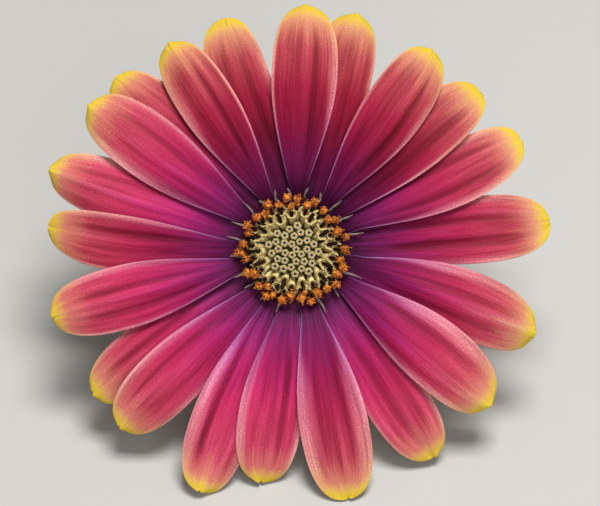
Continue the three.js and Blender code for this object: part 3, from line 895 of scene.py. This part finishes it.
def lobed_club():
    """One bud, upright on the axis, which carries its own places for the finish: height as a share."""
    shape = spun(softened(BUD_OUTLINE, steps=2), BUD_SIDES)
    club = shape.verts.layers.float_vector.new("club")
    for vertex in shape.verts:
        turn, radius = turned_to(vertex)
        x, y, height = vertex.co
        vertex[club] = (x, y, height / BUD_HEIGHT)
        lobe = cos(BUD_LOBES * turn)
        swell = 1 + BUD_LOBE_SWELL * lobe * smoothstep(*BUD_SWELLS_AT, height)
        rise = BUD_LOBE_RISE * lobe * smoothstep(*BUD_RISES_AT, height)
        rise *= smoothstep(*BUD_RISES_FROM, radius)
        vertex.co = Vector((x * swell, y * swell, height + rise))
    return shape


def kept(shape):
    """A shape as a mesh, to be stamped many times into a group."""
    mesh = bpy.data.meshes.new("pattern")
    shape.to_mesh(mesh)
    shape.free()
    return mesh


def stamp(group, pattern, place):
    """Adds a copy of a pattern to a group, with every point where place(point) puts it."""
    first = len(group.verts)
    group.from_mesh(pattern)
    group.verts.ensure_lookup_table()
    for vertex in group.verts[first:]:
        vertex.co = place(vertex.co)


def closed_buds():
    group = bmesh.new()
    pattern = kept(lobed_club())
    chance = Random(BUD_SEED)
    for k in range(BUDS):
        bearing = BUD_FIRST_BEARING + k * GOLDEN_ANGLE
        radius = BUD_SPREAD * sqrt(k + BUD_COUNT_FROM)
        stray = chance.uniform(-BUD_TOP_SCATTER, BUD_TOP_SCATTER)
        top = BUD_TOP - BUD_DOME_FALL * radius * radius + stray
        size = lerp(*BUD_SIZES, chance.random()) * (1 + BUD_GROWTH * radius)
        lean = Matrix.Rotation(BUD_LEAN_OUT * radius, 4, on_bearing(bearing + 90, 1, 0))
        spin = Matrix.Rotation(chance.uniform(0, tau), 4, "Z")
        at = Matrix.Translation(on_bearing(bearing, radius, top) + leaned(top))
        placed = at @ lean @ spin @ Matrix.Diagonal((size, size, 1, 1))
        placed = placed @ Matrix.Translation((0, 0, -BUD_HEIGHT))
        stamp(group, pattern, lambda point: placed @ point)
    return group


add_piece("closed_buds", closed_buds(), [bud_finish()], ["disc_buds"])

# DISC FLORETS
# Thirteen florets that are just opening, and outside them thirty-four open ones, go on with the spiral
# of the buds. Each is a cream tube that leans outwards and splits into five short lobes, and the dark
# purple column of its anthers nods out of its mouth.
OPENING = 13
OPEN = 34
FLORETS = BUDS + OPENING + OPEN
INNER_MOUTH = 3.85
OUTER_MOUTH = 5.7
# Above 0, the florets stand closer together the further out they are
OUTWARD_CROWDING = 0.15
# Radius and height of a floret from its foot to its mouth, for the innermost one and the outermost one
INNER_PATH = [(2.78, -4.6), (2.88, -2), (2.95, 0.9), (3.2, 2.2), (INNER_MOUTH, 3.0)]
OUTER_PATH = [(3.38, -4.6), (3.5, -2), (4.0, 0.1), (4.9, 1.4), (OUTER_MOUTH, 1.95)]
BEARING_SCATTER = 2
# A mouth stands a little higher or lower than its place on the path, with all of the tube above a height
MOUTH_SCATTER = 0.12
SCATTER_ABOVE = 2
NOD = (26, 8)
NOD_SCATTER = 8
ANTHER_LENGTH = 1.55
ANTHER_RADIUS = 0.26
ANTHER_OUTLINE = [(0, 0), (0.75, 0), (0.9, 0.1), (1, 0.35), (1, 0.6), (0.92, 0.85), (0.6, 0.97), (0, 1)]
ANTHER_GROOVES = 5
ANTHER_GROOVE_DEPTH = 0.12
ANTHER_GROOVE_POWER = 4
ANTHER_SIDES = 20
THROAT_SUNK = 0.1
# Radius and share of the tube's height, then how far the lobes stretch a point up and outwards
COROLLA_OUTLINE = [
    (0, 0, 0, 0), (0.22, 0, 0, 0), (0.3, 0.4, 0, 0), (0.4, 0.72, 0, 0), (0.45, 0.9, 0, 0),
    (0.48, 0.96, 0.03, 0.02), (0.5, 0.985, 0.14, 0.1), (0.51, 0.998, 0.3, 0.24),
    (0.5, 1.0, 0.42, 0.4), (0.46, 1.003, 0.46, 0.42), (0.43, 1.002, 0.36, 0.26),
    (0.4, 0.998, 0.19, 0.1), (0.35, 0.992, 0.03, 0), (0.28, 0.988, 0, 0), (0, 0.987, 0, 0),
]
COROLLA_LOBES = 5
COROLLA_SIDES = 30
LOBE_ROUNDNESS = 0.7
LOBE_SPREAD = (0.9, 1.1)
# The finish takes a lobe for higher up the tube than it is, by a share of how far it rises
LOBE_TINT_RISE = 0.1
# Millimetres past the mouth for each unit of height past 1
LENGTH_PAST_MOUTH = 6


def corolla_finish():
    finish = new_finish("corolla_cream", Roughness=0.5, Subsurface_Weight=0.2, Subsurface_Scale=0.0004,
                        Specular_IOR_Level=0.2)
    whole, _, _, height = carried(finish, "tube")
    cells = noise(finish, whole, (5, 5, 5), detail=3)
    colour = ramp(finish, height, [
        (0.45, (0.6, 0.47, 0.16)), (0.7, (0.95, 0.77, 0.37)),
        (0.9, (0.96, 0.82, 0.43)), (1.0, (0.72, 0.56, 0.26)),
    ])
    colour = toned(finish, fade(finish, cells, 0.6, 0.35), colour, (0.72, 0.7, 0.5))
    feed(shader(finish).inputs["Base Color"], colour)
    bumped(finish, cells, 0.04)
    return finish


def anther_finish():
    finish = new_finish("anther_dark", Roughness=0.5, Specular_IOR_Level=0.08)
    whole = carried(finish, "column")[0]
    cells = noise(finish, whole, (9, 9, 9), detail=3)
    dark = ramp(finish, cells, [
        (0.45, (0.008, 0.0015, 0.001)), (0.62, (0.02, 0.005, 0.002)), (0.75, (0.1, 0.03, 0.01)),
    ])
    feed(shader(finish).inputs["Base Color"], dark)
    bumped(finish, cells, 0.06)
    return finish


def corolla(spread):
    """One corolla, upright, with its mouth at height 1 and its lobes more or less spread."""
    shape = spun(COROLLA_OUTLINE, COROLLA_SIDES)
    tube = shape.verts.layers.float_vector.new("tube")
    stretch = {(round(radius, 4), round(height, 4)): lobed for radius, height, *lobed in COROLLA_OUTLINE}
    for vertex in shape.verts:
        turn, radius = turned_to(vertex)
        rise, flare = stretch[round(radius, 4), round(vertex.co.z, 4)]
        lobe = abs(abs(turn * COROLLA_LOBES / pi) % 2 - 1) ** LOBE_ROUNDNESS
        wide = 1 + lobe * flare * spread / radius if flare else 1
        vertex[tube] = (vertex.co.x, vertex.co.y, vertex.co.z + LOBE_TINT_RISE * lobe * rise)
        vertex.co = Vector((vertex.co.x * wide, vertex.co.y * wide, vertex.co.z))
        vertex.co.z += lobe * rise / LENGTH_PAST_MOUTH
    return shape


def anther_column():
    """One column of five fused anthers, upright, its foot at the origin."""
    outline = [(radius * ANTHER_RADIUS, height * ANTHER_LENGTH) for radius, height in ANTHER_OUTLINE]
    shape = spun(outline, ANTHER_SIDES)
    column = shape.verts.layers.float_vector.new("column")
    for vertex in shape.verts:
        turn, _ = turned_to(vertex)
        groove = 1 - ANTHER_GROOVE_DEPTH * abs(sin(ANTHER_GROOVES * turn / 2)) ** ANTHER_GROOVE_POWER
        vertex[column] = vertex.co
        vertex.co = Vector((vertex.co.x * groove, vertex.co.y * groove, vertex.co.z))
    return shape


def along_path(path, bearing):
    """Puts a point of an upright shape on a path of radii and heights, by its height as a share."""
    spans = len(path) - 1

    def place(point):
        share = min(max(point.z, 0), 1) * spans
        radius, height = through(path, share)
        back = through(path, max(share - PATH_STEP, 0))
        ahead = through(path, min(share + PATH_STEP, spans))
        run = Vector((ahead[0] - back[0], ahead[1] - back[1])).normalized()
        beyond = max(point.z - 1, 0) * LENGTH_PAST_MOUTH
        outwards = radius + point.x * run.y + beyond * run.x
        upwards = height - point.x * run.x + beyond * run.y
        return on_bearing(bearing, outwards, upwards, point.y) + leaned(height)

    return place


def column_place(path, bearing, nod):
    """Puts a point of an upright column in the mouth at a path's end, nodding outwards by an angle."""
    (r0, h0), (r1, h1) = path[-2:]
    run = Vector((r1 - r0, h1 - h0)).normalized()
    run.rotate(Matrix.Rotation(-nod, 2))
    foot = Vector((r1, h1)) - run * THROAT_SUNK

    def place(point):
        centre = foot + run * point.z
        spot = on_bearing(bearing, centre.x + point.x * run.y, centre.y - point.x * run.x, point.y)
        return spot + leaned(h1)

    return place


def disc_florets(first, last):
    """The corollas and anther columns of a stretch of the spiral, and where each column is."""
    corollas, columns, places = bmesh.new(), bmesh.new(), []
    column_pattern = kept(anther_column())
    chance = Random(last)
    for k in range(first, last):
        share = ((k - BUDS) / (FLORETS - 1 - BUDS)) ** (1 - OUTWARD_CROWDING)
        mouth = sqrt(lerp(INNER_MOUTH**2, OUTER_MOUTH**2, share))
        outer = (mouth - INNER_MOUTH) / (OUTER_MOUTH - INNER_MOUTH)
        stray = chance.uniform(-MOUTH_SCATTER, MOUTH_SCATTER)
        path = [
            (lerp(r0, r1, outer), lerp(h0, h1, outer) + stray * (h0 > SCATTER_ABOVE))
            for (r0, h0), (r1, h1) in zip(INNER_PATH, OUTER_PATH)
        ]
        bearing = BUD_FIRST_BEARING + k * GOLDEN_ANGLE
        bearing += chance.uniform(-BEARING_SCATTER, BEARING_SCATTER)
        nod = lerp(*NOD, outer) + chance.uniform(-NOD_SCATTER, NOD_SCATTER)
        stamp(corollas, kept(corolla(lerp(*LOBE_SPREAD, outer))), along_path(path, bearing))
        place = column_place(path, bearing, radians(nod))
        stamp(columns, column_pattern, place)
        places.append((outer, place))
    return corollas, columns, places


corolla_cream, anther_dark = corolla_finish(), anther_finish()
column_places = []
for whorl, first, last in ("opening", BUDS, BUDS + OPENING), ("open", BUDS + OPENING, FLORETS):
    corollas, columns, places = disc_florets(first, last)
    add_piece(f"{whorl}_corollas", corollas, [corolla_cream], [f"{whorl}_florets"])
    add_piece(f"{whorl}_anthers", columns, [anther_dark], [f"{whorl}_florets"])
    column_places += places

# POLLEN
# Bright orange grains that cling in a lumpy clump round the end of each anther column. Every outer
# column has one, which makes a ragged orange ring round the disc, and few inner ones have any.
POLLEN_SEED = 5
CLUMP_RADIUS = 0.37
# Shares of the radius of a sparse clump and a full one, and how far they vary
CLUMP_SIZES = (0.75, 1.05)
CLUMP_SIZE_SCATTER = (0.85, 1.15)
# How high a clump's lumps are, as a share of its radius, and how close together they lie along X, Y and Z
CLUMP_LUMPS = 0.19
CLUMP_WAVES = (5, 6, 4)
CLUMP_STRETCH = (0.9, 1.5)
GRAIN_RADIUS = (0.045, 0.09)
GRAINS = (100, 140)
# How far out on a clump a grain sits, as a share of the clump's radius there
GRAIN_AT = (0.95, 1.5)
# How far out a column stands for its chance of a clump to begin, and to be full
POLLEN_FROM = 0.1
POLLEN_ALL_FROM = 0.5


def pollen_finish():
    finish = new_finish("pollen_orange", Roughness=0.7, Subsurface_Weight=0.1, Subsurface_Scale=0.0002)
    place = new_node(finish, "ShaderNodeTexCoord", {}).outputs["Object"]
    tint = noise(finish, place, (2500, 2500, 2500), detail=2)
    orange = ramp(finish, tint, [
        (0.35, (0.24, 0.04, 0.002)), (0.5, (0.5, 0.13, 0.006)), (0.65, (0.88, 0.33, 0.02)),
    ])
    feed(shader(finish).inputs["Base Color"], orange)
    bumped(finish, tint, 0.06)
    return finish


def ball(subdivisions):
    """A ball of radius 1, to be stamped."""
    shape = bmesh.new()
    bmesh.ops.create_icosphere(shape, subdivisions=subdivisions, radius=1)
    return kept(shape)


def pollen():
    group = bmesh.new()
    core, grain = ball(subdivisions=3), ball(subdivisions=1)
    chance = Random(POLLEN_SEED)
    wave_x, wave_y, wave_z = CLUMP_WAVES
    for outer, place in column_places:
        amount = smoothstep(POLLEN_FROM, POLLEN_ALL_FROM, outer)
        if chance.random() > amount:
            continue
        size = lerp(*CLUMP_SIZES, amount) * chance.uniform(*CLUMP_SIZE_SCATTER)
        stretch = chance.uniform(*CLUMP_STRETCH)
        turn = chance.uniform(0, tau)

        def on_clump(way, proud=1.0):
            """Where a place on a ball comes to lie on the lumpy clump, or a little proud of it."""
            lump = sin(wave_x * way.x + turn) + sin(wave_y * way.y - turn)
            lump += sin(wave_z * way.z + 2 * turn)
            away = way * size * CLUMP_RADIUS * (1 + CLUMP_LUMPS * lump) * proud
            return place(Vector((away.x, away.y, ANTHER_LENGTH + away.z * stretch)))

        stamp(group, core, on_clump)
        for _ in range(int(amount * chance.randint(*GRAINS))):
            way = Vector((chance.gauss(0, 1), chance.gauss(0, 1), chance.gauss(0, 1))).normalized()
            middle = on_clump(way, chance.uniform(*GRAIN_AT))
            radius = chance.uniform(*GRAIN_RADIUS)
            stamp(group, grain, lambda point: middle + point * radius)
    return group


add_piece("pollen_grains", pollen(), [pollen_finish()], ["open_florets"])

# FLOOR, LIGHT AND CAMERA
# A plain pale floor, a large soft key above the flower, a soft fill from the camera's side, and a camera
# that looks down the axis of the head.
# Half the floor's width, in metres
FLOOR_HALF = 1.2
# Millimetres in the head's frame
CAMERA_AT = Vector((0.52, -0.52, 450))
LENS = 208.1
SENSOR = 36
PALE_WALLS = (0.9, 0.93, 1.0, 1)
PALE_WALLS_STRENGTH = 0.2


def floor():
    shape = bmesh.new()
    bmesh.ops.create_grid(shape, x_segments=1, y_segments=1, size=FLOOR_HALF)
    mesh = bpy.data.meshes.new("floor")
    shape.to_mesh(mesh)
    shape.free()
    finish = new_finish("floor_pale", Roughness=0.9)
    feed(shader(finish).inputs["Base Color"], (0.5, 0.49, 0.46, 1))
    mesh.materials.append(finish)
    ground = bpy.data.objects.new("floor", mesh)
    bpy.context.collection.objects.link(ground)


def soft_light(name, towards, distance, size, power):
    """A square light that shines at the head from a direction, its distance and size in metres."""
    lamp = bpy.data.lights.new(name, "AREA")
    lamp.size = size
    lamp.energy = power
    light = bpy.data.objects.new(name, lamp)
    bpy.context.collection.objects.link(light)
    direction = Vector(towards).normalized()
    light.location = TO_METRES @ HEAD_AT + direction * distance
    light.rotation_euler = direction.to_track_quat("Z", "Y").to_euler()


def camera():
    lens = bpy.data.cameras.new("camera")
    lens.sensor_width = SENSOR
    lens.lens = LENS
    lens.clip_start = 0.01
    lens.clip_end = 10
    eye = bpy.data.objects.new("camera", lens)
    bpy.context.collection.objects.link(eye)
    eye.location = TO_METRES @ (HEAD @ CAMERA_AT)
    eye.rotation_euler = HEAD.to_euler()
    bpy.context.scene.camera = eye


def pale_world():
    world = bpy.data.worlds.new("pale_room")
    world.use_nodes = True
    background = world.node_tree.nodes["Background"]
    background.inputs["Color"].default_value = PALE_WALLS
    background.inputs["Strength"].default_value = PALE_WALLS_STRENGTH
    bpy.context.scene.world = world


floor()
soft_light("key", towards=(0.12, -0.02, 1), distance=0.5, size=0.2, power=2.95)
soft_light("fill", towards=(0.3, -0.9, 0.7), distance=0.7, size=0.5, power=1.45)
camera()
pale_world()
bpy.context.scene.view_settings.view_transform = "Standard"
